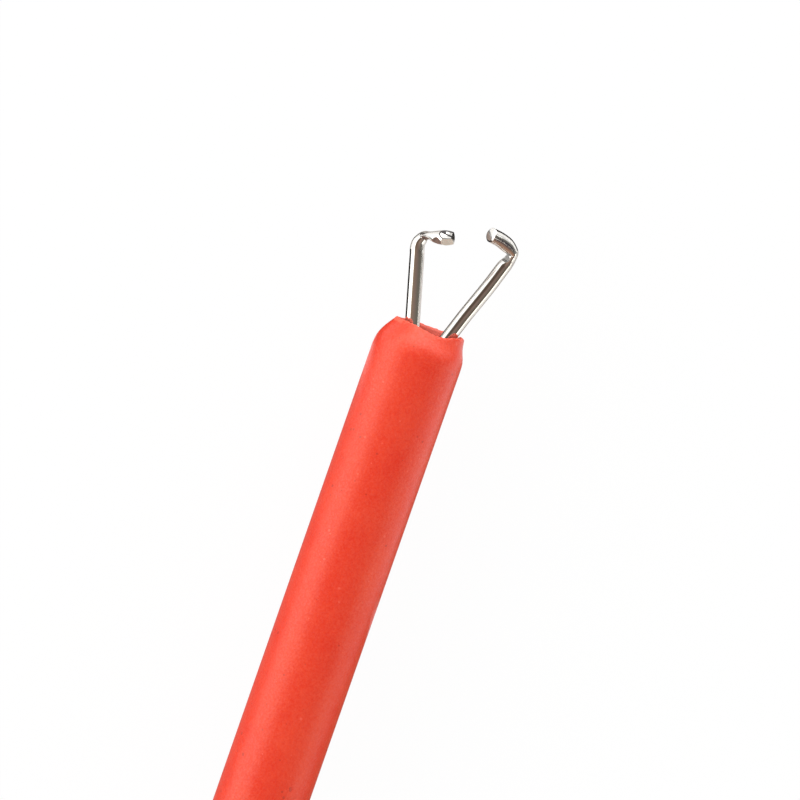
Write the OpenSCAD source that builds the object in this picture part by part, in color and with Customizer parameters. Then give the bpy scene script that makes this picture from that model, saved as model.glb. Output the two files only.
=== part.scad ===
// Grabber test hook, lying on the flat of its handle with the tip towards +X.
// The plunger is pressed: the jaws stand out of the sleeve and open in the level plane.

/* [Sleeve] */
// Outside diameter of the insulating sleeve
sleeve_d = 5; // [4.8:0.1:5.4]
// Bore of the insulating sleeve
sleeve_bore = 4; // [3.9:0.05:4.2]
// Length of sleeve that shows between its mouth and the boot
sleeve_show = 58; // [40:1:110]
// Outside diameter of the mouth
mouth_d = 3.84; // [3.8:0.02:4.1]
// Wall of the sleeve at the mouth
mouth_wall = 0.2; // [0.14:0.02:0.24]
// Sideways offset of the mouth and the jaws from the sleeve's axis
mouth_offset = 0.2; // [0:0.02:0.24]
// Slope of the tapered tip in degrees
tip_slope = 23; // [18:1:30]

/* [Jaws] */
// Diameter of the jaw wires
wire_d = 0.8; // [0.6:0.02:0.84]
// Distance between the jaw wires at their roots
root_pitch = 0.96; // [0.9:0.02:1]
// Depth of the jaw roots behind the mouth
root_depth = 1.96; // [1.7:0.02:2.1]
// Angle at which the left jaw stands open
left_open = 15.5; // [8:0.5:16]
// Angle at which the right jaw stands open
right_open = 18.4; // [10:0.2:18.4]
// Straight length of the left jaw from root to bend
left_shank = 5.85; // [5.7:0.05:5.95]
// Straight length of the right jaw from root to bend
right_shank = 6.93; // [6.8:0.05:7.5]
// Bend of the left hook in degrees
left_bend = 84; // [80:1:90]
// Bend of the right hook in degrees
right_bend = 93; // [85:1:95]
// Radius of the left bend along the middle of the wire
left_bend_r = 0.55; // [0.5:0.05:0.7]
// Radius of the right bend along the middle of the wire
right_bend_r = 0.8; // [0.7:0.05:1]
// Straight end of the left hook
left_hook = 1.75; // [0.8:0.05:1.9]
// Straight end of the right hook
right_hook = 1; // [0.6:0.05:1.3]
// Rise of the left hook out of the level plane in degrees
left_lift = 45; // [42:1:55]
// Rise of the right hook out of the level plane in degrees
right_lift = 34; // [20:1:50]
// Thickness of the wire in its bends as a share of its diameter
bend_share = 0.94; // [0.85:0.01:0.97]
// Chamfer on the cut ends of the hooks
cut_chamfer = 0.1; // [0.04:0.02:0.2]

/* [Push wire and holder] */
// Diameter of the push wire
push_d = 1.2; // [0.8:0.1:1.5]
// Diameter of the jaw holder
holder_d = 2.9; // [2.8:0.05:3.1]
// Length of the jaw holder
holder_len = 5; // [4.5:0.5:8]
// Depth to which wires sit in the jaw holder and the socket
wire_seat = 2; // [1.5:0.1:2.2]
// Spare length of the tip bush behind the drawn-in holder
bush_spare = 1.3; // [0.5:0.1:4]

/* [Shaft end] */
// Length of the strain boot in front of the nose cap
boot_len = 16; // [12:1:24]
// Wall of the boot at its front end
boot_tip_wall = 0.5; // [0.4:0.1:0.8]
// Wall of the boot where it enters the nose cap
boot_neck_wall = 1; // [0.8:0.1:1.1]
// Thickness of the boot flange and the ferrule flange
flange_t = 1.6; // [1:0.1:1.8]
// Wall of the ferrule
ferrule_wall = 0.6; // [0.4:0.1:0.7]
// Length of the ferrule behind its flange
ferrule_len = 8; // [5:0.5:8.5]
// Wall of the barrel's spigot
spigot_wall = 1.05; // [0.9:0.05:1.15]
// Wall of the nose cap
nose_wall = 1; // [0.8:0.05:1.1]
// Front wall of the nose cap
nose_front = 1.6; // [1:0.1:2]
// Length of the nose cap
nose_len = 12; // [11.8:0.2:16]
// Flutes round the nose cap
nose_flutes = 18; // [8:1:24]

/* [Handle] */
// Thickness of the finger guard
guard_t = 3.2; // [2.6:0.1:4.5]
// Span of the finger guard
guard_span = 27; // [22:1:34]
// Radius of the finger seats in the guard
guard_seat_r = 9; // [7:0.5:14]
// Diameter of the barrel
barrel_d = 13.8; // [13.2:0.1:16]
// Height of the barrel across its flats
barrel_h = 11.5; // [11.2:0.1:12.4]
// Length of the barrel
barrel_len = 37; // [34:1:50]
// Front wall of the spring chamber
front_wall = 1.5; // [1:0.1:3]
// Grip grooves round the barrel
grip_grooves = 7; // [3:1:8]
// Pitch of the grip grooves
groove_pitch = 2.8; // [2.2:0.1:3]
// Radius of a grip groove
groove_r = 0.9; // [0.6:0.1:1.1]
// Depth of a grip groove
groove_depth = 0.4; // [0.2:0.05:0.5]
// Wall of the rear bush
rear_bush_wall = 0.95; // [0.7:0.05:1.1]
// Depth of the rear bush in the barrel
rear_bush_len = 5; // [3:0.5:7]
// Thickness of the rear bush's rim
rear_rim_t = 1.4; // [0.8:0.1:2]
// Diameter of the rear bush's rim
rear_rim_d = 11; // [10.8:0.1:11.2]

/* [Plunger] */
// Travel of the plunger
travel = 3.6; // [2:0.1:3.7]
// Diameter of the plunger
plunger_d = 8; // [7.8:0.1:8.4]
// Gap between the pressed thumb collar and the handle
press_gap = 0.5; // [0.3:0.1:1.5]
// Diameter of the thumb collar
collar_d = 11; // [9.5:0.1:11.2]
// Thickness of the thumb collar
collar_t = 3; // [2:0.1:5]
// Outside diameter of the tube that enters the plug's shroud
plug_tube_d = 7.8; // [7.2:0.1:7.8]
// Length of the tube that enters the plug's shroud
plug_tube_len = 20; // [16:1:26]
// Rim that covers the socket's end
plug_rim_t = 1.2; // [0.8:0.1:2.5]
// Bore of the contact socket
socket_bore = 4; // [3.9:0.05:4.1]
// Depth of the contact socket's bore
socket_depth = 20; // [14:1:24]
// Wall of the contact socket
socket_wall = 0.8; // [0.6:0.05:0.9]
// Solid front of the contact socket
socket_front = 4.5; // [3.5:0.1:7]
// Diameter of the terminal screw
screw_d = 1.6; // [1.2:0.1:2]
// Bore of the socket lock
lock_bore = 3; // [2.4:0.1:3.4]
// Diameter of the socket lock's flange
lock_flange_d = 7.4; // [6.8:0.1:7.6]
// Thickness of the socket lock's flange
lock_flange_t = 0.8; // [0.5:0.1:1.5]
// Diameter of the travel pin
pin_d = 1.6; // [1.2:0.1:2]
// Distance of the travel pin from the barrel's rear
pin_inset = 13; // [10:0.5:15]

/* [Spring] */
// Length of the return spring with the plunger pressed
spring_len = 10; // [8:0.5:14]
// Outside diameter of the return spring
spring_d = 7; // [6.4:0.1:7.4]
// Wire of the return spring
spring_wire = 0.6; // [0.4:0.05:0.8]
// Turns of the return spring
spring_turns = 7; // [5:1:9]
// Thickness of the spring washer
washer_t = 0.6; // [0.4:0.1:1]

/* [Fits] */
// Radial clearance of pieces that are fixed together
seat = 0.02; // [0.01:0.01:0.04]
// Radial clearance of pieces that slide
slide = 0.05; // [0.03:0.01:0.08]

/* [Hidden] */
$fn = 64;
eps = 0.01;
wire_r = wire_d / 2;
axis_z = barrel_h / 2;

// Fits that follow from one another, from the sleeve outwards
liner_d = sleeve_bore - 2 * seat;
boot_bore = sleeve_d + 2 * seat;
neck_d = boot_bore + 2 * boot_neck_wall;
ferrule_d = boot_bore + 2 * ferrule_wall;
spigot_bore = ferrule_d + 2 * seat;
spigot_d = spigot_bore + 2 * spigot_wall;
nose_bore = spigot_d + 2 * seat;
nose_d = nose_bore + 2 * nose_wall;
chamber_d = plunger_d + 2 * slide;
socket_d = socket_bore + 2 * socket_wall;
plunger_bore = socket_d + 2 * seat;
rear_bush_d = chamber_d + 2 * rear_bush_wall;

// Length of the tool behind and ahead of the mouth
behind = sleeve_show + boot_len + nose_len + guard_t + barrel_len
    + rear_rim_t + press_gap + collar_t + plug_tube_len;

// Reach of a jaw from its root along the tool
function reach(open, shank, bend, bend_r, hook, lift) =
    let (rise = shank + bend_r * sin(bend) + hook * cos(bend))
    let (side = (bend_r * (1 - cos(bend)) + hook * sin(bend)) * cos(lift))
    let (lean = cos(bend) * cos(open) + sin(bend) * cos(lift) * sin(open))
    rise * cos(open) + side * sin(open) + wire_r * sqrt(1 - lean * lean);
ahead = max(
    reach(left_open, left_shank, left_bend, left_bend_r, left_hook, left_lift),
    reach(right_open, right_shank, right_bend, right_bend_r, right_hook, right_lift)
) - root_depth;

// Stations along the tool, from the mouth to the rear end
x_mouth = (behind - ahead) / 2;
x_root = x_mouth - root_depth;
x_tail = x_root - wire_r - 0.03;
x_holder = x_tail - 0.1 - holder_len;
x_boot = x_mouth - sleeve_show;
x_nose = x_boot - boot_len;
x_boot_flange = x_nose - nose_front;
x_ferrule = x_boot_flange - flange_t;
x_spigot = x_ferrule - flange_t;
x_guard = x_nose - nose_len;
x_barrel = x_guard - guard_t;
x_sleeve_end = x_spigot - ferrule_len;
x_chamber = x_barrel - front_wall;
x_spring = x_chamber - washer_t - spring_len;
x_plunger = x_spring - lock_flange_t;
x_barrel_end = x_barrel - barrel_len;
x_collar = x_barrel_end - rear_rim_t - press_gap;
x_rear = x_collar - collar_t - plug_tube_len;
x_socket_end = x_rear + plug_rim_t;
x_socket = x_socket_end + socket_depth + socket_front;
x_push_end = x_socket - wire_seat - 1.2;
x_pin = x_barrel_end + pin_inset;
bush_front = x_root - slide;
bush_len = bush_front - (x_holder - travel) + bush_spare;
pin_floor = plunger_bore / 2 + 0.4;

// Bar along the tool, from x towards the tip
module bar(x, len, d, side = 0) {
    translate([x, side, axis_z])
        rotate([0, 90, 0])
            cylinder(h = len, d = d);
}

// Tube along the tool, from x towards the tip
module pipe(x, len, d, bore) {
    difference() {
        bar(x, len, d);
        bar(x - 1, len + 2, bore);
    }
}

// Solid turned about the tool's axis from points of station and radius
module turned(points) {
    translate([0, 0, axis_z])
        rotate([0, 90, 0])
            rotate_extrude()
                polygon([for (p = points) [p[1], p[0]]]);
}

// Ring cut of round section at a station
module ring_cut(x, ring_r, r) {
    translate([x, 0, axis_z])
        rotate([0, 90, 0])
            rotate_extrude()
                translate([ring_r, 0])
                    circle(r);
}

// Corner of a turned profile, rounded about station x and radius r
function corner(x, r, round, from, to) =
    [for (i = [0 : 6]) let (a = from + (to - from) * i / 6) [x + round * cos(a), r + round * sin(a)]];

// Cone about the offset axis of the mouth, opening away from the tip
module mouth_cone(r) {
    len = 8;
    translate([x_mouth - len, -mouth_offset, axis_z])
        rotate([0, 90, 0])
            cylinder(h = len + eps, r1 = r + len * tan(tip_slope), r2 = r - eps * tan(tip_slope));
}

module shaft_sleeve() {
    color([0.9, 0.22, 0.14])
        difference() {
            intersection() {
                bar(x_sleeve_end, x_mouth - x_sleeve_end, sleeve_d);
                union() {
                    mouth_cone(mouth_d / 2);
                    bar(x_sleeve_end - 1, x_mouth - x_sleeve_end - 4, sleeve_d + 1);
                }
            }
            bar(x_sleeve_end - 1, x_mouth - x_sleeve_end - 3, sleeve_bore);
            intersection() {
                bar(x_mouth - 5, 6, sleeve_bore);
                mouth_cone(mouth_d / 2 - mouth_wall);
            }
        }
}

// Wire of one jaw, with its root at the origin and its shank along +Y
module jaw_wire(shank, bend, bend_r, hook) {
    lap = 3;
    rotate([-90, 0, 0])
        rotate_extrude()
            union() {
                square([wire_r, shank]);
                intersection() {
                    circle(wire_r);
                    translate([0, -wire_r])
                        square([wire_r, wire_r]);
                }
            }
    translate([-bend_r, shank, 0]) {
        rotate([0, 0, -lap])
            rotate_extrude(angle = bend + 2 * lap)
                translate([bend_r, 0])
                    circle(wire_r * bend_share);
        rotate([0, 0, bend])
            translate([bend_r, 0, 0])
                rotate([-90, 0, 0])
                    rotate_extrude()
                        polygon([
                            [0, 0],
                            [wire_r, 0],
                            [wire_r, hook - cut_chamfer],
                            [wire_r - cut_chamfer, hook],
                            [0, hook]
                        ]);
    }
}

module jaw_left() {
    color([0.8, 0.79, 0.77])
        translate([x_root, root_pitch / 2 - mouth_offset, axis_z])
            mirror([0, 1, 0])
                rotate([0, 0, -90 - left_open])
                    rotate([0, left_lift, 0])
                        jaw_wire(left_shank, left_bend, left_bend_r, left_hook);
}

module jaw_right() {
    color([0.8, 0.79, 0.77])
        translate([x_root, -root_pitch / 2 - mouth_offset, axis_z])
            rotate([0, 0, -90 - right_open])
                rotate([0, right_lift, 0])
                    jaw_wire(right_shank, right_bend, right_bend_r, right_hook);
}

module jaw_tails() {
    color([0.8, 0.79, 0.77])
        for (side = [-1, 1])
            bar(x_tail - wire_seat, wire_seat, wire_d, side * root_pitch / 2 - mouth_offset);
}

module jaw_holder() {
    color([0.75, 0.72, 0.66])
        difference() {
            turned([
                [x_holder, 0],
                [x_holder, holder_d / 2 - 0.2],
                [x_holder + 0.2, holder_d / 2],
                [x_holder + holder_len - 0.2, holder_d / 2],
                [x_holder + holder_len, holder_d / 2 - 0.2],
                [x_holder + holder_len, 0]
            ]);
            for (side = [-1, 1])
                bar(x_tail - wire_seat, wire_seat + 1, wire_d + seat, side * root_pitch / 2 - mouth_offset);
            bar(x_holder - 1, wire_seat + 1, push_d + 2 * seat);
        }
}

module tip_bush() {
    color([0.78, 0.66, 0.4])
        pipe(bush_front - bush_len, bush_len, liner_d, holder_d + 2 * slide);
}

module guide_liner() {
    color([0.93, 0.92, 0.88])
        pipe(x_chamber, bush_front - bush_len - x_chamber, liner_d, push_d + 4 * slide);
}

module push_wire() {
    color([0.7, 0.7, 0.7])
        bar(x_push_end, x_holder + wire_seat - x_push_end, push_d);
}

module shaft_ferrule() {
    color([0.78, 0.66, 0.4])
        difference() {
            union() {
                bar(x_sleeve_end, ferrule_len + eps, ferrule_d);
                bar(x_spigot, flange_t, spigot_d);
            }
            bar(x_sleeve_end - 1, ferrule_len + flange_t + 2, boot_bore);
        }
}

module strain_boot() {
    tip_r = boot_bore / 2 + boot_tip_wall;
    neck_r = neck_d / 2;
    color([0.8, 0.17, 0.12])
        difference() {
            turned(concat(
                [[x_ferrule, boot_bore / 2], [x_ferrule, spigot_d / 2]],
                [[x_boot_flange, spigot_d / 2], [x_boot_flange, neck_r], [x_nose, neck_r]],
                corner(x_boot - 0.4, tip_r - 0.4, 0.4, 90, 0),
                [[x_boot, boot_bore / 2]]
            ));
            for (i = [0 : 3])
                ring_cut(x_nose + boot_len * (0.2 + 0.17 * i), neck_r + 0.45 - 0.09 * i, 0.75);
        }
}

module nose_cap() {
    color([0.82, 0.18, 0.12])
        difference() {
            turned(concat(
                [[x_guard, neck_d / 2 + seat]],
                corner(x_guard + 0.5, nose_d / 2 - 0.5, 0.5, 180, 90),
                corner(x_nose - 1.4, nose_d / 2 - 1.4, 1.4, 90, 0),
                [[x_nose, neck_d / 2 + seat]]
            ));
            bar(x_guard - 1, nose_len - nose_front + 1, nose_bore);
            for (i = [0 : nose_flutes - 1])
                translate([0, 0, axis_z])
                    rotate([360 / nose_flutes * (i + 0.5), 0, 0])
                        translate([x_guard + 1.8, 0, nose_d / 2 + 0.22])
                            rotate([0, 90, 0])
                                cylinder(h = nose_len - 4.4, r = 0.55);
        }
}

module finger_guard() {
    end_y = (guard_span - barrel_h) / 2;
    color([0.85, 0.19, 0.13])
        difference() {
            translate([x_barrel, 0, axis_z])
                rotate([90, 0, 90])
                    linear_extrude(guard_t)
                        union() {
                            square([2 * end_y, barrel_h], center = true);
                            translate([end_y, 0])
                                circle(d = barrel_h);
                            translate([-end_y, 0])
                                circle(d = barrel_h);
                        }
            bar(x_barrel - 1, guard_t + 2, spigot_d + 2 * seat);
            for (side = [-1, 1])
                translate([x_guard + guard_seat_r - 0.9, side * (end_y + 1.2), -1])
                    cylinder(h = barrel_h + 2, r = guard_seat_r);
        }
}

module handle_barrel() {
    r = barrel_d / 2;
    grip_x = x_barrel - 6;
    color([0.85, 0.19, 0.13])
        difference() {
            union() {
                intersection() {
                    turned(concat(
                        [[x_barrel_end, 0]],
                        corner(x_barrel_end + 1.2, r - 1.2, 1.2, 180, 90),
                        corner(x_barrel - 0.6, r - 0.6, 0.6, 90, 0),
                        [[x_barrel, 0]]
                    ));
                    translate([x_barrel_end - 1, -r - 1, 0])
                        cube([barrel_len + 2, 2 * r + 2, barrel_h]);
                }
                bar(x_barrel - eps, x_spigot - x_barrel + eps, spigot_d);
            }
            bar(x_barrel_end - 1, x_chamber - x_barrel_end + 1, chamber_d);
            bar(x_barrel_end - 1, rear_bush_len + seat + 1, rear_bush_d + 2 * seat);
            bar(x_sleeve_end - seat, ferrule_len + 1, spigot_bore);
            bar(x_chamber - 1, x_spigot - x_chamber, liner_d + 2 * seat);
            translate([x_pin, 0, axis_z])
                cylinder(h = barrel_h, d = pin_d + 2 * seat);
            for (i = [0 : grip_grooves - 1])
                ring_cut(grip_x - i * groove_pitch, r + groove_r - groove_depth, groove_r);
        }
}

module rear_bush() {
    color([0.2, 0.2, 0.21])
        difference() {
            union() {
                bar(x_barrel_end, rear_bush_len, rear_bush_d);
                turned(concat(
                    [[x_barrel_end + eps, 0], [x_barrel_end + eps, rear_rim_d / 2]],
                    corner(x_barrel_end - rear_rim_t + 0.5, rear_rim_d / 2 - 0.5, 0.5, 90, 180),
                    [[x_barrel_end - rear_rim_t, 0]]
                ));
            }
            bar(x_barrel_end - rear_rim_t - 1, rear_rim_t + rear_bush_len + 2, chamber_d);
        }
}

module travel_pin() {
    color([0.75, 0.75, 0.76])
        translate([x_pin, 0, axis_z + pin_floor + 0.1])
            cylinder(h = axis_z - pin_floor - 0.2, d = pin_d);
}

module spring_washer() {
    color([0.75, 0.75, 0.76])
        pipe(x_chamber - washer_t, washer_t, chamber_d - 2 * seat, push_d + 6 * slide);
}

// Coil swept along the tool between its two seats
module return_spring() {
    sides = 8;
    steps = 18 * spring_turns;
    r = spring_wire / 2;
    mean_r = spring_d / 2 - r;
    rise = (spring_len - spring_wire - 0.04) / steps;
    points = [for (i = [0 : steps]) for (j = [0 : sides - 1])
        let (a = 20 * i)
        let (b = 360 / sides * j)
        [(mean_r + r * cos(b)) * cos(a), (mean_r + r * cos(b)) * sin(a), r + 0.02 + i * rise + r * sin(b)]];
    skin = [for (i = [0 : steps - 1]) for (j = [0 : sides - 1])
        let (k = (j + 1) % sides)
        [i * sides + j, (i + 1) * sides + j, (i + 1) * sides + k, i * sides + k]];
    ends = [
        [for (j = [0 : sides - 1]) j],
        [for (j = [sides - 1 : -1 : 0]) steps * sides + j]
    ];
    color([0.72, 0.72, 0.73])
        translate([x_spring, 0, axis_z])
            rotate([0, 90, 0])
                polyhedron(points, concat(skin, ends));
}

module plunger_body() {
    tube_r = plug_tube_d / 2;
    color([0.82, 0.18, 0.12])
        difference() {
            turned(concat(
                [[x_plunger, socket_bore / 2 + 0.2], [x_plunger, plunger_d / 2 - 0.3]],
                [[x_plunger - 0.3, plunger_d / 2], [x_collar, plunger_d / 2]],
                corner(x_collar - 0.7, collar_d / 2 - 0.7, 0.7, 0, 90),
                corner(x_collar - collar_t + 0.7, collar_d / 2 - 0.7, 0.7, 90, 180),
                [[x_collar - collar_t, tube_r]],
                corner(x_rear + 0.6, tube_r - 0.6, 0.6, 90, 180),
                [[x_rear, socket_bore / 2 + 0.2]]
            ));
            bar(x_socket_end, x_plunger - x_socket_end + 1, plunger_bore);
            translate([x_pin, 0, axis_z + pin_floor])
                for (x = [0, travel])
                    translate([x, 0, 0])
                        cylinder(h = plunger_d, d = pin_d + 2 * slide);
            translate([x_pin, -pin_d / 2 - slide, axis_z + pin_floor])
                cube([travel, pin_d + 2 * slide, plunger_d]);
        }
}

module contact_socket() {
    color([0.8, 0.79, 0.76])
        difference() {
            bar(x_socket_end, x_socket - x_socket_end, socket_d);
            bar(x_socket_end - 1, socket_depth + 1, socket_bore);
            bar(x_push_end - seat, x_socket - x_push_end + 1, push_d + 2 * seat);
            translate([x_socket - 1.7, 0, axis_z])
                cylinder(h = socket_d, d = screw_d + 2 * seat);
        }
}

module terminal_screw() {
    low = push_d / 2 + seat;
    high = socket_d / 2 - 0.25;
    color([0.72, 0.72, 0.73])
        translate([x_socket - 1.7, 0, axis_z + low])
            difference() {
                cylinder(h = high - low, d = screw_d);
                translate([-screw_d, -0.15, high - low - 0.4])
                    cube([2 * screw_d, 0.3, 1]);
            }
}

module socket_lock() {
    color([0.9, 0.89, 0.85])
        difference() {
            union() {
                bar(x_socket, x_plunger - x_socket + eps, socket_d);
                bar(x_plunger, lock_flange_t, lock_flange_d);
            }
            bar(x_socket - 1, x_plunger - x_socket + lock_flange_t + 2, lock_bore);
        }
}

shaft_sleeve();
jaw_left();
jaw_right();
tip_bush();
guide_liner();
shaft_ferrule();
strain_boot();
nose_cap();
finger_guard();
handle_barrel();
rear_bush();
travel_pin();
spring_washer();
return_spring();
plunger_body();
contact_socket();
socket_lock();
terminal_screw();
push_wire();
jaw_holder();
jaw_tails();
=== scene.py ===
"""Looks of the grabber test hook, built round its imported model."""
import math

import bmesh
import bpy
from mathutils import Matrix, Vector, noise


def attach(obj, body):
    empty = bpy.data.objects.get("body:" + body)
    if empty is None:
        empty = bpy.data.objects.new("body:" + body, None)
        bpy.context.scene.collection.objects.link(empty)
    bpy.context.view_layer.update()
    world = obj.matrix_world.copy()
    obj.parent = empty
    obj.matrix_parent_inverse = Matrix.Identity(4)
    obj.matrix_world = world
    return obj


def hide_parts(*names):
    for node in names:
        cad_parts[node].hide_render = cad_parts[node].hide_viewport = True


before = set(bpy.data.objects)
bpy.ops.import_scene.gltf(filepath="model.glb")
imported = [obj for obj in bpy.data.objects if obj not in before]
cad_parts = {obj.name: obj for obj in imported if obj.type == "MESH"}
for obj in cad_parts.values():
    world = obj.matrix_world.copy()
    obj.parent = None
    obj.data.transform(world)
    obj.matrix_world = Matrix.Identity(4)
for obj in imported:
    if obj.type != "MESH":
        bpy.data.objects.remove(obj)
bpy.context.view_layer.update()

MM = 0.001
WHITE = (1.0, 1.0, 1.0)

# Lengths along the tool in millimetres, as in the part's source
SLEEVE_SHOW = 58.0
BOOT_LENGTH = 16.0
NOSE_LENGTH = 12.0
GUARD_THICK = 3.2
BARREL_LENGTH = 37.0
COLLAR_GAP = 1.9
COLLAR_THICK = 3.0
PLUG_TUBE_LENGTH = 20.0

# Stations along the tool, from the mouth to the rear
X_MOUTH = 72.4517
X_BOOT = X_MOUTH - SLEEVE_SHOW
X_NOSE = X_BOOT - BOOT_LENGTH
X_GUARD = X_NOSE - NOSE_LENGTH
X_BARREL = X_GUARD - GUARD_THICK
X_BARREL_END = X_BARREL - BARREL_LENGTH
X_COLLAR = X_BARREL_END - COLLAR_GAP
X_TUBE = X_COLLAR - COLLAR_THICK
X_REAR = X_TUBE - PLUG_TUBE_LENGTH
X_PIN = X_BARREL_END + 13.0
X_SLEEVE_END = X_NOSE - 12.8
X_PLUNGER = X_BARREL - 12.9

# Radii across the tool, the height of its axis and how far the mouth is pushed sideways
AXIS_Z = 5.75
SLEEVE_R = 2.5
BORE_R = 2.0
WIRE_R = 0.4
BOOT_FRONT_R = 3.02
BOOT_REAR_R = 3.52
NOSE_R = 5.21
BARREL_R = 6.9
BUSH_R = 5.5
COLLAR_R = 5.5
PLUNGER_R = 4.0
PLUG_TUBE_R = 3.9
PIN_HOLE_R = 0.82
MOUTH_SHIFT = -0.2

# Angles of the open jaws in degrees
LEFT_OPEN = 15.5
RIGHT_OPEN = 18.4


class Value:
    """A shader socket that takes part in sums."""

    def __init__(self, finish, socket):
        self.finish = finish
        self.socket = socket

    def math(self, operation, a, b):
        node = self.finish.node("ShaderNodeMath", {"operation": operation}, {0: a, 1: b})
        return Value(self.finish, node.outputs[0])

    def __add__(self, other):
        return self.math("ADD", self, other)

    def __sub__(self, other):
        return self.math("SUBTRACT", self, other)

    def __rsub__(self, other):
        return self.math("SUBTRACT", other, self)

    def __mul__(self, other):
        return self.math("MULTIPLY", self, other)

    def __gt__(self, other):
        return self.math("GREATER_THAN", self, other)

    def __lt__(self, other):
        return self.math("LESS_THAN", self, other)

    __radd__ = __add__
    __rmul__ = __mul__


class Finish:
    """A material or world made of nodes."""

    def __init__(self, owner):
        owner.use_nodes = True
        self.owner = owner
        self.tree = owner.node_tree
        self.tree.nodes.clear()

    def node(self, kind, settings=None, sockets=None):
        made = self.tree.nodes.new(kind)
        for key, value in (settings or {}).items():
            if key == "stops":
                ramp = made.color_ramp
                while len(ramp.elements) < len(value):
                    ramp.elements.new(0.5)
                for element, (place, colour) in zip(ramp.elements, value):
                    element.position = place
                    element.color = (*colour, 1.0)
            else:
                setattr(made, key, value)
        for key, value in (sockets or {}).items():
            if isinstance(value, Value):
                value = value.socket
            if isinstance(value, bpy.types.NodeSocket):
                self.tree.links.new(value, made.inputs[key])
            else:
                made.inputs[key].default_value = value
        return made

    def value(self, kind, settings, sockets):
        return Value(self, self.node(kind, settings, sockets).outputs[0])

    def where(self):
        return self.node("ShaderNodeTexCoord").outputs["Object"]

    def grain(self, vector, scale, rough=0.55, detail=3.0):
        sockets = {"Vector": vector, "Scale": scale, "Detail": detail, "Roughness": rough}
        return self.value("ShaderNodeTexNoise", {}, sockets)

    def times(self, a, b):
        return self.node("ShaderNodeVectorMath", {"operation": "MULTIPLY"}, {0: a, 1: b}).outputs[0]

    def tint(self, share, a, b):
        a = (*a, 1.0) if isinstance(a, tuple) else a
        return self.node("ShaderNodeMix", {"data_type": "RGBA"}, {0: share, 6: a, 7: (*b, 1.0)}).outputs[2]

    def bump(self, height, depth_mm, strength):
        sockets = {"Strength": strength, "Distance": depth_mm * MM, "Height": height}
        return self.node("ShaderNodeBump", {}, sockets).outputs[0]

    def close(self, surface):
        self.node("ShaderNodeOutputMaterial", {}, {"Surface": surface})
        return self.owner


# Slow shade changes and sheen patches as shares of a plastic's grain, and its long waves per metre
BROAD_GRAIN = 14.0
SHEEN_GRAIN = 0.7
SHEEN_CONTRAST = 9.0
WAVES = (260.0, 480.0, 480.0)


def plastic(name, deep, pale, rough, grain_mm, relief, specks=(), shine=WHITE, sheen=0.0, waves=0.0):
    """Coloured plastic with a fine grain, slow shade changes and, where given, specks and a patchy sheen."""
    f = Finish(bpy.data.materials.new(name))
    at = f.where()
    fine = f.grain(at, 1000.0 / grain_mm, 0.7)
    broad = f.grain(at, 1000.0 / (grain_mm * BROAD_GRAIN))
    colour = f.tint((fine - 0.5) * 1.2 + (broad - 0.5) * 0.7 + 0.5, deep, pale)
    for spread, share, tone in specks:
        cells = f.value("ShaderNodeTexVoronoi", {}, {"Vector": at, "Scale": spread})
        spot = cells < (f.grain(at, spread * 0.37) - 0.46) * 0.9
        colour = f.tint(spot * share, colour, tone)
    height = fine
    if waves:
        height = (f.grain(f.times(at, WAVES), 1.0, detail=2.0) - 0.5) * waves + fine
    sockets = {
        "Base Color": colour,
        "Roughness": (broad - 0.5) * 0.2 + (fine - 0.5) * 0.2 + rough,
        "Specular Tint": (*shine, 1.0),
        "Normal": f.bump(height, relief, 0.6),
    }
    if sheen:
        patches = f.grain(at, 1000.0 / (grain_mm * SHEEN_GRAIN), 0.7)
        sockets["Coat Weight"] = (patches - 0.5) * (sheen * SHEEN_CONTRAST) + sheen
        sockets["Coat Roughness"] = rough
    return f.close(f.node("ShaderNodeBsdfPrincipled", {}, sockets).outputs[0])


# Lines per metre along or round a metal piece, spots per metre and the depth of marks in millimetres
ALONG = (150.0, 6000.0, 6000.0)
AROUND = (6000.0, 250.0, 250.0)
SPOTS = 2600.0
MARK_DEPTH = 0.002


def metal(name, colour, wear_and_shade, rough, streak, turn=0.0, edge=(0.8, 0.8, 0.8), metallic=1.0, painted_bright_end=None):
    """Bright metal with fine marks along the way it was drawn or turned."""
    f = Finish(bpy.data.materials.new(name))
    at = f.where()
    drawn = f.node("ShaderNodeVectorRotate", {"rotation_type": "Z_AXIS"}, {"Vector": at, "Angle": turn})
    lines = f.grain(f.times(drawn.outputs[0], streak), 1.0)
    spots = f.grain(at, SPOTS)
    tone = f.tint(spots * 1.4 - 0.4, colour, wear_and_shade)
    # A brighter stretch of wire is a painted highlight
    if painted_bright_end:
        start, stop, bright = painted_bright_end
        reach = {0: f.value("ShaderNodeSeparateXYZ", {}, {0: at}), 1: start * MM, 2: stop * MM}
        share = f.value("ShaderNodeMapRange", {"interpolation_type": "SMOOTHSTEP"}, reach)
        tone = f.tint(share, tone, bright)
    shader = f.node("ShaderNodeBsdfPrincipled", {}, {
        "Base Color": tone,
        "Metallic": metallic,
        "Roughness": (lines - 0.5) * 0.12 + (spots - 0.5) * 0.08 + rough,
        "Specular Tint": (*edge, 1.0),
        "Normal": f.bump(lines, MARK_DEPTH, 0.4),
    })
    return f.close(shader.outputs[0])


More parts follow.
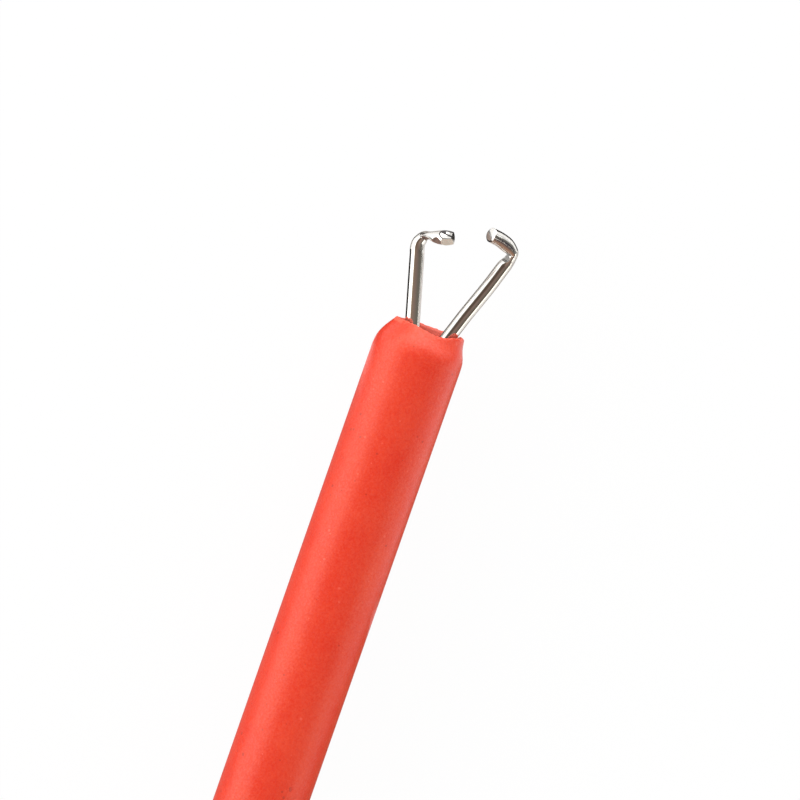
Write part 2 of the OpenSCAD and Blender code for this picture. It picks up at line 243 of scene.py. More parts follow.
SLEEVE_RED = plastic(
    "sleeve_red", (0.69, 0.011, 0.001), (0.80, 0.055, 0.014), 0.37, 0.16, 0.03,
    specks=[(1900.0, 0.55, (0.42, 0.012, 0.006)), (2600.0, 0.3, (0.92, 0.18, 0.12))],
    shine=(1.0, 1.0, 0.80), sheen=0.26, waves=3.0,
)
# Paler red for the inner wall near the mouth: painted light, for the light that reaches into the mouth
SLEEVE_BORE_LIT = plastic("sleeve_bore", (0.94, 0.15, 0.10), (1.0, 0.21, 0.15), 0.6, 0.12, 0.006)
# Paler red for the cut rim of the mouth: a painted highlight along the lip
SLEEVE_RIM_HIGHLIGHT = plastic("sleeve_rim_painted_highlight", (0.82, 0.070, 0.030), (0.92, 0.12, 0.06), 0.6, 0.12, 0.006)
HANDLE_RED = plastic("handle_red", (0.52, 0.022, 0.009), (0.62, 0.034, 0.015), 0.36, 0.16, 0.006)
BOOT_RED = plastic("boot_red", (0.46, 0.020, 0.010), (0.55, 0.032, 0.018), 0.6, 0.12, 0.008)
BUSH_BLACK = plastic("bush_black", (0.012, 0.012, 0.013), (0.03, 0.03, 0.032), 0.42, 0.16, 0.004)
LINER_PALE = plastic("liner_pale", (0.70, 0.68, 0.60), (0.80, 0.78, 0.72), 0.45, 0.25, 0.004)
BRASS = metal("turned_brass", (0.74, 0.53, 0.22), (0.60, 0.41, 0.17), 0.26, AROUND)
PLATED = metal("plated_brass", (0.80, 0.78, 0.73), (0.68, 0.66, 0.60), 0.20, AROUND)
STEEL = metal("drawn_steel", (0.62, 0.62, 0.63), (0.50, 0.50, 0.51), 0.28, ALONG)
# Near-black metal for the rims and a ridge of the nipped ends: painted shade
SHADED_EDGE_METAL = metal("edge_painted_shade", (0.06, 0.055, 0.055), (0.03, 0.03, 0.03), 0.4, ALONG)
# Beige metal for one nipped facet of the left end: a painted warm reflection
BEIGE_REFLECTION_METAL = metal("cut_facet_painted_reflection", (0.77, 0.72, 0.62), (0.58, 0.53, 0.44), 0.5, ALONG, metallic=0.3)
# Brown metal for the pinch marks in the left bend and a band of the right cut face: painted reflection
BROWN_REFLECTION_METAL = metal("brown_painted_reflection", (0.33, 0.255, 0.215), (0.14, 0.105, 0.085), 0.45, ALONG, metallic=0.6)
# Grey metal for the press mark on the right neck, and for a band of painted shade across the right cut face
GREY_FACE_METAL = metal("grey_face_press_and_painted_shade", (0.44, 0.43, 0.41), (0.28, 0.27, 0.26), 0.4, ALONG)
WIRE_EDGE = (0.4, 0.37, 0.34)
# Both jaws are one wire in two tones: the left copy is painted lighter and the right copy darker, as painted
# light and shade
WIRE_LEFT_LIT = metal(
    "wire_left_painted_light", (0.96, 0.94, 0.90), (0.86, 0.83, 0.78), 0.10, ALONG,
    math.radians(-LEFT_OPEN), WIRE_EDGE,
)
WIRE_RIGHT_SHADED = metal(
    "wire_right_painted_shade", (0.70, 0.68, 0.64), (0.60, 0.57, 0.53), 0.10, ALONG,
    math.radians(RIGHT_OPEN), WIRE_EDGE,
    # The right jaw's end is painted brighter as a highlight
    painted_bright_end=(X_MOUTH + 4.6, X_MOUTH + 5.3, (0.94, 0.92, 0.88)),
)

# Places of a jaw's materials in its list: the wire itself, then colours of painted shade and painted
# reflection
WIRE, SHADED_EDGE, BEIGE_REFLECTION, BROWN_REFLECTION, GREY_FACE = range(5)


def new_piece(name, bm, body, stands_for, materials, crease):
    """Puts a finished mesh, made in millimetres, into the scene."""
    bmesh.ops.remove_doubles(bm, verts=bm.verts, dist=1e-4)
    bmesh.ops.recalc_face_normals(bm, faces=bm.faces)
    bmesh.ops.scale(bm, vec=(MM, MM, MM), verts=bm.verts)
    mesh = bpy.data.meshes.new(name)
    bm.to_mesh(mesh)
    bm.free()
    for face in mesh.polygons:
        face.use_smooth = True
    mesh.set_sharp_from_angle(angle=math.radians(crease))
    for material in materials:
        mesh.materials.append(material)
    piece = bpy.data.objects.new(name, mesh)
    bpy.context.scene.collection.objects.link(piece)
    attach(piece, body)
    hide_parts(*stands_for)
    return piece


def placed(x, y, z, centre):
    """A matrix that turns to three axes and moves to a centre."""
    return Matrix.Translation(centre) @ Matrix((x, y, z)).transposed().to_4x4()


def sweep(bm, frames, segments):
    """A skin over sections, each a matrix that places a unit circle. Gives its first and last ring."""
    made = bmesh.ops.create_circle(bm, segments=segments, radius=1.0, matrix=frames[0])
    ring = list(dict.fromkeys(e for v in made["verts"] for e in v.link_edges))
    first = ring
    for before, after in zip(frames, frames[1:]):
        grown = bmesh.ops.extrude_edge_only(bm, edges=ring)["geom"]
        verts = [g for g in grown if isinstance(g, bmesh.types.BMVert)]
        bmesh.ops.transform(bm, matrix=after @ before.inverted(), verts=verts)
        inside = set(verts)
        ring = [g for g in grown if isinstance(g, bmesh.types.BMEdge) and inside.issuperset(g.verts)]
    return first, ring


def section(x, r, y=0.0):
    """A round section across the tool."""
    turn = Matrix.Rotation(math.pi / 2, 4, "Y")
    return Matrix.Translation((x, y, AXIS_Z)) @ turn @ Matrix.Diagonal((r, r, 1.0, 1.0))


def rounded(corners, steps=6):
    """Points of a closed turned profile whose corners, as station, radius and rounding, are rounded off."""
    points = []
    count = len(corners)
    for i, (x, r, rounding) in enumerate(corners):
        here = Vector((x, r))
        if not rounding:
            points.append((x, r))
            continue
        back = (Vector(corners[i - 1][:2]) - here).normalized()
        on = (Vector(corners[(i + 1) % count][:2]) - here).normalized()
        half = back.angle(on) / 2
        reach = rounding / math.tan(half)
        centre = here + (back + on).normalized() * (rounding / math.sin(half))
        a, b = here + back * reach - centre, here + on * reach - centre
        for k in range(steps + 1):
            swing = a.lerp(b, k / steps)
            points.append(tuple(centre + swing.normalized() * rounding))
    return points


def turned(profile, segments):
    """A ring-shaped solid turned from a closed profile of stations and radii."""
    bm = bmesh.new()
    first, last = sweep(bm, [section(x, r) for x, r in profile], segments)
    bmesh.ops.bridge_loops(bm, edges=first + last)
    return bm


def grooved(start, stop, radius, grooves, width, depth):
    """Points of a straight turned run with soft round grooves, each given as its station."""
    points = []
    steps = 10
    for x in grooves:
        for k in range(steps + 1):
            s = 1 - 2 * k / steps
            taper = radius(x + s * width)
            points.append((x + s * width, taper - depth * 0.5 * (1 + math.cos(math.pi * s))))
    return [(start, radius(start))] + points + [(stop, radius(stop))]


def make_sleeve():
    """Sleeve with its tapered, hand-cut mouth."""
    # Station from the mouth, radius and sideways place of each section that tapers
    tapered = [
        (-2.2, 2.5, 0.0), (-1.9, 2.5, 0.0), (-1.676, 2.497, 0.0), (-1.459, 2.484, -0.008),
        (-1.243, 2.452, -0.016), (-1.027, 2.39, -0.027), (-0.811, 2.30, -0.043), (-0.595, 2.202, -0.06),
        (-0.378, 2.104, -0.097), (-0.162, 2.013, -0.157), (-0.04, 1.962, -0.19), (0.0, 1.935, -0.2),
        (0.012, 1.90, -0.2), (0.006, 1.84, -0.2), (-0.03, 1.80, -0.2), (-0.18, 1.80, -0.19),
        (-0.42, 1.84, -0.15), (-0.75, 1.90, -0.09), (-1.2, 1.96, -0.03), (-1.6, BORE_R, 0.0),
    ]
    straight = X_MOUTH - 2.6 - X_SLEEVE_END
    stations = [(X_SLEEVE_END + straight * i / 24, SLEEVE_R, 0.0) for i in range(25)]
    stations += [(X_MOUTH + x, r, y) for x, r, y in tapered] + [(X_SLEEVE_END, BORE_R, 0.0)]
    bm = bmesh.new()
    first, last = sweep(bm, [section(x, r, y) for x, r, y in stations], 192)
    bmesh.ops.bridge_loops(bm, edges=first + last)
    for v in bm.verts:
        depth = X_MOUTH - v.co.x
        if depth > 2.2:
            continue
        y, z = v.co.y - MOUTH_SHIFT, v.co.z - AXIS_Z
        turn = math.atan2(y, z)
        around = Vector((math.cos(turn), math.sin(turn), 0.0))
        close = max(0.0, 1.0 - depth / 0.9)
        ragged = noise.noise(around * 1.6 + Vector((3.1, 0.4, 0.0))) * 0.07
        ragged += noise.noise(around * 5.0) * 0.05
        ragged += noise.noise(around * 14.0) * 0.035
        tab = 0.11 * math.exp(-((turn + 2.35) / 0.07) ** 2) - 0.07 * math.exp(-((turn + 2.12) / 0.1) ** 2)
        sag = 0.14 * math.exp(-((turn + 0.22) / 0.48) ** 4)
        v.co.x += close ** 3 * (ragged + tab) - close * sag
        hollow = max(0.0, 1.0 - abs(depth - 0.75) / 0.75)
        dent = hollow * noise.noise(around * 2.1 + Vector((0.0, 0.0, depth * 0.9)))
        swell = 1.0 + 0.022 * dent + close ** 2 * 0.012 * noise.noise(around * 6.0)
        v.co.y, v.co.z = y * swell + MOUTH_SHIFT, z * swell + AXIS_Z
    rim_highlight, bore = 1, 2
    for face in bm.faces:
        face.normal_update()
        centre = face.calc_center_median()
        depth = X_MOUTH - centre.x
        # Cut rim: paler red as a painted highlight
        if depth < 0.13 and abs(face.normal.x) > 0.5:
            face.material_index = rim_highlight
        # Inner wall near the mouth: paler red as painted light
        elif depth < 1.2 and math.hypot(centre.y - MOUTH_SHIFT, centre.z - AXIS_Z) < 1.89:
            face.material_index = bore
    materials = [SLEEVE_RED, SLEEVE_RIM_HIGHLIGHT, SLEEVE_BORE_LIT]
    new_piece("sleeve_with_cut_mouth", bm, "handle", ["shaft_sleeve"], materials, 60.0)


def at_mouth(x, y, z):
    """A point given from the middle of the mouth."""
    return Vector((X_MOUTH + x, y, AXIS_Z + z))


def between(p, q, r, s, t):
    """A value on the smooth curve from q to r, with p before and s after them."""
    bend = (2 * p - 5 * q + 4 * r - s) * t * t
    return 0.5 * (2 * q + (r - p) * t + bend + (3 * q - p - 3 * r + s) * t ** 3)


def make_jaw(name, side, opened, points, material, finish_end):
    """Spring wire bent by hand, from its round root to its nipped end."""
    root = at_mouth(-1.96, side * 0.48 + MOUTH_SHIFT, 0.0)
    along = Vector((math.cos(math.radians(opened)), side * math.sin(math.radians(opened)), 0.0))
    path = [(at_mouth(x, y, z), a, b) for x, y, z, a, b in points]
    samples = []
    for i in range(6):
        turn = math.radians(86 - 14 * i)
        r = WIRE_R * math.cos(turn)
        samples.append((root - along * WIRE_R * math.sin(turn), r, r))
    shank, shank_steps = path[0][0] - root, 12
    samples += [(root + shank * i / shank_steps, WIRE_R, WIRE_R) for i in range(shank_steps)]
    past_end = (path[-1][0] * 2 - path[-2][0], path[-1][1], path[-1][2])
    whole = [(root + shank * 0.9, WIRE_R, WIRE_R)] + path + [past_end]
    bend_steps = 6
    for group in zip(whole, whole[1:], whole[2:], whole[3:]):
        for k in range(bend_steps):
            samples.append(tuple(between(*values, k / bend_steps) for values in zip(*group)))
    samples.append(path[-1])
    frames = []
    for i, (point, thick, wide) in enumerate(samples):
        tangent = (samples[min(i + 1, len(samples) - 1)][0] - samples[max(i - 1, 0)][0]).normalized()
        normal = Vector((0, 0, 1)).cross(tangent).normalized()
        here = placed(normal, tangent.cross(normal), tangent, point)
        frames.append(here @ Matrix.Diagonal((thick, wide, 1.0, 1.0)))
    bm = bmesh.new()
    first, last = sweep(bm, frames, 48)
    bmesh.ops.contextual_create(bm, geom=first)
    bmesh.ops.contextual_create(bm, geom=last)
    bmesh.ops.recalc_face_normals(bm, faces=bm.faces)
    finish_end(bm)
    materials = [material, SHADED_EDGE_METAL, BEIGE_REFLECTION_METAL, BROWN_REFLECTION_METAL, GREY_FACE_METAL]
    new_piece(name + "_wire", bm, name, [name], materials, 26.0)


def parts_of(faces):
    """Faces with their edges and corners, each once."""
    corners = [v for f in faces for v in f.verts]
    edges = [e for f in faces for e in f.edges]
    return list(dict.fromkeys(corners + edges + faces))


def nip(bm, point, normal, finish=WIRE):
    """Cuts a wire's end off along a plane and closes the cut."""
    near = {v for v in bm.verts if (v.co - point).length < 1.1}
    geom = parts_of([f for f in bm.faces if near.issuperset(f.verts)])
    made = bmesh.ops.bisect_plane(bm, geom=geom, plane_co=point, plane_no=normal, clear_outer=True)
    edges = [g for g in made["geom_cut"] if isinstance(g, bmesh.types.BMEdge)]
    closed = bmesh.ops.contextual_create(bm, geom=edges)["faces"]
    for face in closed:
        face.material_index = finish
    return closed


def score(bm, faces, point, normal):
    """Splits flat faces along a plane and gives all of them."""
    split = bmesh.ops.bisect_plane(bm, geom=parts_of(faces), plane_co=point, plane_no=normal)["geom"]
    return [g for g in split if isinstance(g, bmesh.types.BMFace)]


def press(bm, point, facing, reach, finish):
    """Flattens a wire where the pliers held it."""
    facing = facing.normalized()
    cut = {v for f in bm.faces if f.material_index for v in f.verts}
    near = [v for v in bm.verts if v not in cut and (v.co - point).length < reach * 1.4]
    edges = list(dict.fromkeys(e for v in near for e in v.link_edges))
    bmesh.ops.subdivide_edges(bm, edges=edges, cuts=4, use_grid_fill=True)
    cut = {v for f in bm.faces if f.material_index for v in f.verts}
    flat = set()
    for v in bm.verts:
        gap = v.co - point
        out = gap.dot(facing)
        if v in cut or gap.length > reach or out < 0:
            continue
        v.co -= facing * out * min(1.0, (reach - gap.length) / (reach * 0.2))
        flat.add(v)
    for face in bm.faces:
        if flat.issuperset(face.verts):
            face.material_index = finish


def left_end(bm):
    """Slanting nipper cuts that meet in a ridge, and two pinch marks inside the bend. The upper cut's rim
    and ridge are painted dark as shade, and the lower cut beige and the pinch marks brown as painted
    reflection.
    """
    nip(bm, at_mouth(4.99, 0.28, 1.70), Vector((0.32, -0.89, 0.30)))
    # The lower cut is painted beige as a warm reflection
    nip(bm, at_mouth(4.90, 0.60, 1.70), Vector((-0.62, -0.22, 0.75)), BEIGE_REFLECTION)
    upper = nip(bm, at_mouth(4.90, 0.60, 1.70), Vector((0.62, 0.22, 0.75)))
    # The rim of the upper cut is painted dark as shade
    rim = bmesh.ops.inset_individual(bm, faces=upper, thickness=0.08, depth=-0.03)["faces"]
    for face in rim:
        face.material_index = SHADED_EDGE
    inner = [f for f in upper if f.is_valid]
    ridge, ridge_width, wedge = Vector((0.996, -0.085, 0.0)), 0.08, Vector((0.333, -0.943, 0.0))
    start, stop = at_mouth(5.09, 0.618, 1.75), at_mouth(5.18, 0.68, 1.75)
    for point, normal in ((start, ridge), (start + ridge * ridge_width, ridge), (stop, wedge)):
        inner = score(bm, inner, point, normal)
    # A strip along the ridge is painted dark as shade
    for face in inner:
        centre = face.calc_center_median()
        above = (centre - start).dot(ridge)
        if 0.0 < above and (above < ridge_width or (centre - stop).dot(wedge) < 0):
            face.material_index = SHADED_EDGE
    # The pinch marks are pressed flat and painted brown as a reflection
    press(bm, at_mouth(4.63, 0.84, 1.135), Vector((-0.60, 0.10, 0.78)), 0.44, BROWN_REFLECTION)
    press(bm, at_mouth(4.558, 1.662, 0.53), Vector((-0.85, -0.10, 0.50)), 0.21, BROWN_REFLECTION)


def right_end(bm):
    """Square cut with a worn rim, and a press mark inside the bend. One side of the rim is painted dark as
    shade, and the cut face is painted in light, grey and brown bands as painted reflection and shade.
    """
    middle = at_mouth(5.902, -1.639, 1.10)
    cut = nip(bm, middle, Vector((0.05, 0.78, 0.62)))
    wear_and_shade = bmesh.ops.inset_individual(bm, faces=cut, thickness=0.03, depth=0.035)["faces"]
    wear_and_shade += bmesh.ops.inset_individual(bm, faces=cut, thickness=0.05, depth=0.015)["faces"]
    # One side of the worn rim is painted dark as shade
    for face in wear_and_shade:
        if (face.calc_center_median() - middle).dot(Vector((-0.8, 0.4, -0.45))) > 0.08:
            face.material_index = SHADED_EDGE
    # The cut face is painted in light, grey and brown bands: painted reflection and shade
    bright = Vector((0.63, -0.78, 0.0))
    grey_from, dark_from = -0.01, -0.1
    for step in (grey_from, dark_from):
        cut = score(bm, cut, middle + bright * step, bright)
    for face in cut:
        across = (face.calc_center_median() - middle).dot(bright)
        face.material_index = BROWN_REFLECTION if across < dark_from else GREY_FACE if across < grey_from else WIRE
    # The press mark is pressed flat and painted grey
    press(bm, at_mouth(4.96, -2.87, 0.2), Vector((-0.15, 0.74, 0.65)), 0.31, GREY_FACE)


# Points of the wires: reach from the mouth, side, lift, half thickness and half width
LEFT_POINTS = [
    (3.549, 1.80, 0.00, 0.395, 0.40), (3.85, 1.893, 0.00, 0.39, 0.40),
    (4.15, 1.92, 0.00, 0.37, 0.40), (4.38, 1.85, 0.00, 0.335, 0.41),
    (4.55, 1.775, 0.0, 0.29, 0.42), (4.635, 1.70, 0.07, 0.25, 0.42),
    (4.705, 1.565, 0.27, 0.22, 0.43), (4.765, 1.40, 0.555, 0.21, 0.425),
    (4.80, 1.127, 0.89, 0.325, 0.395), (4.89, 0.768, 1.20, 0.40, 0.40),
    (5.02, 0.40, 1.55, 0.40, 0.40), (5.17, 0.015, 1.90, 0.39, 0.40),
]
RIGHT_POINTS = [
    (1.20, -1.72, 0.0, 0.40, 0.40), (3.145, -2.42, 0.0, 0.40, 0.40),
    (4.30, -2.79, 0.00, 0.395, 0.40), (4.58, -2.90, 0.00, 0.38, 0.40),
    (4.90, -3.02, 0.02, 0.315, 0.44), (5.298, -3.07, 0.12, 0.29, 0.448),
    (5.463, -2.913, 0.26, 0.335, 0.432), (5.633, -2.598, 0.50, 0.41, 0.40),
    (5.791, -2.168, 0.78, 0.405, 0.40), (5.87, -1.713, 1.06, 0.40, 0.40),
    (5.92, -1.40, 1.26, 0.40, 0.40), (5.96, -1.10, 1.45, 0.40, 0.40),
]


def make_boot():
    """Soft boot with ring grooves round the shaft."""
    def radius(x):
        return BOOT_REAR_R + (BOOT_FRONT_R - BOOT_REAR_R) * (x - X_NOSE) / BOOT_LENGTH

    bore, neck, flange = 2.52, 3.5, 4.15
    x_front, x_step, x_rear = X_BOOT - 0.5, X_NOSE - 1.62, X_NOSE - 3.15
    rings = [X_NOSE + BOOT_LENGTH * (0.2 + 0.17 * i) for i in range(3, -1, -1)]
    run = grooved(x_front, X_NOSE, radius, rings, 0.95, 0.34)
    front = rounded([
        (x_front, bore, 0), (X_BOOT, bore, 0.12), (X_BOOT, BOOT_FRONT_R, 0.36), (x_front, 3.03, 0),
    ])[:-1]
    rear = [(X_NOSE, neck), (x_step, neck), (x_step, flange), (x_rear, flange), (x_rear, bore)]
    bm = turned(front + run + rear, 96)
    new_piece("strain_boot_soft", bm, "handle", ["strain_boot"], [BOOT_RED], 50.0)


def make_nose_cap():
    """Screwed nose cap with finger flutes."""
    hole, thread, x_wall = 3.54, 4.21, X_NOSE - 1.6
    flutes, flute_depth, flute_width, flute_end = 18, 0.33, 0.36, 0.6
    skin = NOSE_R - 0.01
    profile = rounded([
        (X_NOSE, hole, 0.15), (X_NOSE, NOSE_R, 1.4), (X_GUARD, NOSE_R, 0.5),
        (X_GUARD, thread, 0), (x_wall, thread, 0), (x_wall, hole, 0),
    ], 10)
    rear, front = X_GUARD + 1.5, X_NOSE - 2.3
    outside = [i for i, (x, r) in enumerate(profile) if r > skin]
    straight = [(front + flute_end - (front - rear + 2 * flute_end) * k / 30, NOSE_R) for k in range(31)]
    bm = turned(profile[:outside[0] + 1] + straight + profile[outside[-1]:], 288)
    for v in bm.verts:
        y, z = v.co.y, v.co.z - AXIS_Z
        r = math.hypot(y, z)
        if r > skin and rear < v.co.x < front:
            swing = math.atan2(z, y) * flutes / (2 * math.pi)
            off = (swing - round(swing)) * 2 * math.pi / flutes * NOSE_R
            end = min(1.0, (v.co.x - rear) / flute_end, (front - v.co.x) / flute_end)
            end = math.sqrt(max(0.0, 1 - (1 - end) ** 2))
            depth = flute_depth * end * math.exp(-(off / flute_width) ** 4)
            v.co.y, v.co.z = y * (r - depth) / r, z * (r - depth) / r + AXIS_Z
    new_piece("nose_cap_fluted", bm, "handle", ["nose_cap"], [HANDLE_RED], 40.0)


def make_guard():
    """Winged finger guard with a hollow for a finger on each side."""
    half_width, half_height, rounding = 13.5, AXIS_Z, 0.6
    finger_r, finger_y, finger_out = 9.0, 8.95, 8.1
    bm = bmesh.new()
    for front in (True, False):
        made = bmesh.ops.create_grid(bm, x_segments=108, y_segments=36, size=1.0)["verts"]
        for v in made:
            y, t = half_width * v.co.x, v.co.y
            over = max(0.0, abs(y) - (half_width - half_height))
            z = half_height * t * math.sqrt(max(0.0, 1 - (over / half_height) ** 2))
            rim = half_height - math.hypot(over, z)
            drop = rounding - math.sqrt(max(0.0, rounding ** 2 - (rounding - min(rounding, rim)) ** 2))
            seat = max(0.0, math.sqrt(max(0.0, finger_r ** 2 - (abs(y) - finger_y) ** 2)) - finger_out)
            v.co = (X_GUARD - drop - seat if front else X_BARREL + drop, y, z + AXIS_Z)
    bmesh.ops.remove_doubles(bm, verts=bm.verts, dist=1e-4)
    edges = [e for e in bm.edges if e.is_boundary]
    bmesh.ops.bridge_loops(bm, edges=edges)
    new_piece("finger_guard_winged", bm, "handle", ["finger_guard"], [HANDLE_RED], 40.0)


def drill_pin_hole(piece):
    """Cuts the travel pin's hole into the top of the finished barrel."""
    radius, depth = PIN_HOLE_R * MM, 3.0 * MM
    top = Matrix.Translation((X_PIN * MM, 0, 2 * AXIS_Z * MM))
    bm = bmesh.new()
    bmesh.ops.create_cone(
        bm, cap_ends=True, segments=48, radius1=radius, radius2=radius, depth=2 * depth, matrix=top,
    )
    mesh = bpy.data.meshes.new("pin_drill")
    bm.to_mesh(mesh)
    bm.free()
    drill = bpy.data.objects.new("pin_drill", mesh)
    bpy.context.scene.collection.objects.link(drill)
    hole = piece.modifiers.new("pin_hole", "BOOLEAN")
    hole.operation = "DIFFERENCE"
    hole.solver = "EXACT"
    hole.object = drill
    bpy.context.view_layer.update()
    cut = bpy.data.meshes.new_from_object(piece.evaluated_get(bpy.context.evaluated_depsgraph_get()))
    piece.modifiers.clear()
    piece.data = cut
    bpy.data.objects.remove(drill)


def make_barrel():
    """Handle barrel with two flats, grip grooves and the hole for the travel pin."""
    wire_hole, spigot, chamber, bush_seat = 3.14, 4.19, 4.05, 5.02
    x_spigot, x_wall = X_GUARD + 7.2, X_BARREL - 1.5
    x_seat, x_straight = X_BARREL_END + 5.02, X_BARREL_END + 2.0
    grooves = [X_BARREL - 6.0 - 2.8 * i for i in range(7)]
    run = grooved(x_wall, x_straight, lambda x: BARREL_R, grooves, 0.85, 0.4)
    front = rounded([
        (x_spigot, wire_hole, 0), (x_spigot, spigot, 0.3), (X_BARREL, spigot, 0),
        (X_BARREL, BARREL_R, 0.6), (x_wall, BARREL_R, 0),
    ])[:-1]
    rear = rounded([
        (x_straight, BARREL_R, 0), (X_BARREL_END, BARREL_R, 1.2), (X_BARREL_END, bush_seat, 0.1),
        (x_seat, bush_seat, 0), (x_seat, chamber, 0), (x_wall, chamber, 0), (x_wall, wire_hole, 0),
    ])[1:]
    bm = turned(front + run + rear, 160)
    softness = 0.1
    for v in bm.verts:
        z = v.co.z - AXIS_Z
        if abs(z) > 4.6 and math.hypot(v.co.y, z) > 5.2:
            over = (AXIS_Z - abs(z)) / softness
            kept = AXIS_Z - softness * (math.log1p(math.exp(over)) if over < 30 else over)
            v.co.z = AXIS_Z + math.copysign(kept, z)
    materials = [HANDLE_RED]
    piece = new_piece("handle_barrel_gripped", bm, "handle", ["handle_barrel"], materials, 40.0)
    drill_pin_hole(piece)


def make_rear_bush():
    """Dark bush that guides the plunger at the rear of the barrel."""
    bore, seat = 4.05, 5.0
    x_front, x_rim = X_BARREL_END + 5.0, X_BARREL_END - 1.4
    profile = rounded([
        (x_front, bore, 0), (x_front, seat, 0), (X_BARREL_END, seat, 0),
        (X_BARREL_END, BUSH_R, 0.15), (x_rim, BUSH_R, 0.45), (x_rim, bore, 0.15),
    ])
    bm = turned(profile, 128)
    new_piece("rear_bush_ring", bm, "handle", ["rear_bush"], [BUSH_BLACK], 40.0)


def make_plunger():
    """Plunger with its thumb collar and the tube for a plug."""
    wire_hole, groove, plug_hole, socket_hole = 1.0, 3.2, 2.2, 2.82
    slot_front, slot_rear = X_PIN + 4.5, X_PIN - 0.9
    socket_rear, socket_front = X_REAR + 1.2, X_BARREL_END + 0.8
    profile = rounded([
        (X_PLUNGER, wire_hole, 0), (X_PLUNGER, PLUNGER_R, 0.3), (slot_front, PLUNGER_R, 0),
        (slot_front, groove, 0), (slot_rear, groove, 0), (slot_rear, PLUNGER_R, 0),
        (X_COLLAR, PLUNGER_R, 0.2), (X_COLLAR, COLLAR_R, 0.7), (X_TUBE, COLLAR_R, 0.7),
        (X_TUBE, PLUG_TUBE_R, 0.3), (X_REAR, PLUG_TUBE_R, 0.6), (X_REAR, plug_hole, 0.25),
        (socket_rear, plug_hole, 0), (socket_rear, socket_hole, 0),
        (socket_front, socket_hole, 0), (socket_front, wire_hole, 0),
    ], 8)
    bm = turned(profile, 128)
    new_piece("plunger_with_collar", bm, "plunger", ["plunger_body"], [HANDLE_RED], 40.0)


make_sleeve()
make_jaw("jaw_left", 1, LEFT_OPEN, LEFT_POINTS, WIRE_LEFT_LIT, left_end)
make_jaw("jaw_right", -1, RIGHT_OPEN, RIGHT_POINTS, WIRE_RIGHT_SHADED, right_end)
make_boot()
make_nose_cap()
make_guard()
make_barrel()
make_rear_bush()
make_plunger()

# Finishes of the nodes that keep their own shape
FINISHES = {
    "tip_bush": BRASS,
    "guide_liner": LINER_PALE,
    "shaft_ferrule": BRASS,
    "travel_pin": STEEL,
    "spring_washer": STEEL,
    "return_spring": STEEL,
    "contact_socket": PLATED,
    "socket_lock": LINER_PALE,
    "terminal_screw": STEEL,
    "push_wire": STEEL,
    "jaw_holder": PLATED,
    "jaw_tails": STEEL,
}
for node, finish in FINISHES.items():
    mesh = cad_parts[node].data
    mesh.materials.clear()
    mesh.materials.append(finish)

# The camera's lean and roll, the width it sees in metres, the axes of its picture and its middle
TILT = math.radians(4.5)
ROLL = math.radians(19.29)
VIEW_WIDTH = 0.04324
LENS = 200.0
SENSOR = 36.0
AHEAD = Vector((1, 0, 0))
SIDE = Vector((0, 1, 0))
LEVEL = Vector((0, 0, 1))
AXIS = Vector((math.cos(TILT), 0, -math.sin(TILT)))
BACK = Vector((math.sin(TILT), 0, math.cos(TILT)))
RIGHT = AXIS * math.sin(ROLL) - SIDE * math.cos(ROLL)
UPWARD = AXIS * math.cos(ROLL) + SIDE * math.sin(ROLL)
TARGET = Vector((X_MOUTH - 4.205, 0.065, AXIS_Z)) * MM


def plain(*colour):
    """Stops of a ramp that holds one colour."""
    return [(0.0, colour), (1.0, colour)]


def sheet(name, axes, centre, width, height, material):
    """A flat sheet of the stage."""
    bm = bmesh.new()
    bmesh.ops.create_grid(bm, x_segments=1, y_segments=1, size=0.5)
    mesh = bpy.data.meshes.new(name)
    bm.to_mesh(mesh)
    bm.free()
    mesh.materials.append(material)
    made = bpy.data.objects.new(name, mesh)
    made.matrix_world = placed(*axes, centre) @ Matrix.Diagonal((width, height, 1.0, 1.0))
    bpy.context.scene.collection.objects.link(made)
    return made


def make_floor():
    """Pale floor that the camera sees as white, with a faint shadow."""
    f = Finish(bpy.data.materials.new("floor_white"))
    seen = Value(f, f.node("ShaderNodeLightPath").outputs["Is Camera Ray"])
    paint = f.node("ShaderNodeBsdfDiffuse", {}, {"Color": (0.86, 0.86, 0.86, 1.0)})
    glow = f.node("ShaderNodeEmission", {}, {"Color": (*WHITE, 1.0), "Strength": 1.0})
    mix = f.node("ShaderNodeMixShader", {}, {0: seen * 0.95, 1: paint.outputs[0], 2: glow.outputs[0]})
    sheet("floor", (AHEAD, SIDE, LEVEL), Vector((0, 0, 0)), 8.0, 8.0, f.close(mix.outputs[0]))


def card(name, stops, axes, centre, width, height, fade=plain(*WHITE), strength=1.0):
    """A glowing card that only mirrors see, with its colours across and a fade along it."""
    f = Finish(bpy.data.materials.new(name))
    place = f.node("ShaderNodeSeparateXYZ", {}, {0: f.where()})
    across = f.node("ShaderNodeValToRGB", {"stops": stops}, {0: Value(f, place.outputs[0]) + 0.5})
    along = f.node("ShaderNodeValToRGB", {"stops": fade}, {0: Value(f, place.outputs[1]) + 0.5})
    colour = f.times(across.outputs[0], along.outputs[0])
    glow = f.node("ShaderNodeEmission", {}, {"Color": colour, "Strength": strength})
    made = sheet(name, axes, centre, width, height, f.close(glow.outputs[0]))
    made.visible_camera = False
    made.visible_diffuse = False
    made.visible_transmission = False
    made.visible_shadow = False


